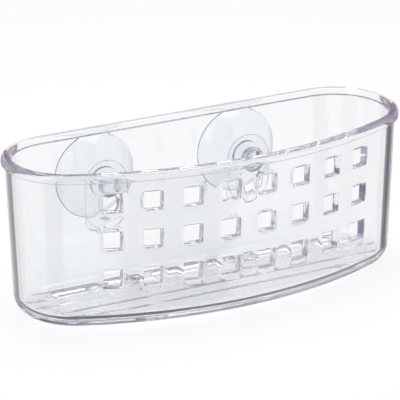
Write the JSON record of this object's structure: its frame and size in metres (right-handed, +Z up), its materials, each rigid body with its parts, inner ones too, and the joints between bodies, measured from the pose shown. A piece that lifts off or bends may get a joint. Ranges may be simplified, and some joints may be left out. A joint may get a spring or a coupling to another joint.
{
  "type": "suction sponge holder",
  "caption": "Clear moulded sink caddy: D-shaped basket with bowed pierced front, rounded rim, slotted floor, and suction cups in keyholes at the back.",
  "frame": {"origin": "under the middle of the bounding box, on the surface that the feet stand on", "axes": "+X along the basket, +Y towards the wall that the cups hold, +Z up"},
  "size_m": [0.174, 0.0764, 0.0675],
  "materials": {
    "clear_polystyrene": "clear, polished mould finish",
    "clear_soft_vinyl": "clear, smooth"
  },
  "bodies": {
    "holder": {"basket": "clear_polystyrene"},
    "left_cup": {"suction_cup_left": "clear_soft_vinyl"},
    "right_cup": {"suction_cup_right": "clear_soft_vinyl"}
  },
  "joints": [
    {"name": "left_cup_release", "type": "slide", "parent": "holder", "child": "left_cup", "axis": [0, 0, -1], "range_m": [0, 0.01]},
    {"name": "right_cup_release", "type": "slide", "parent": "holder", "child": "right_cup", "axis": [0, 0, -1], "range_m": [0, 0.01]}
  ]
}
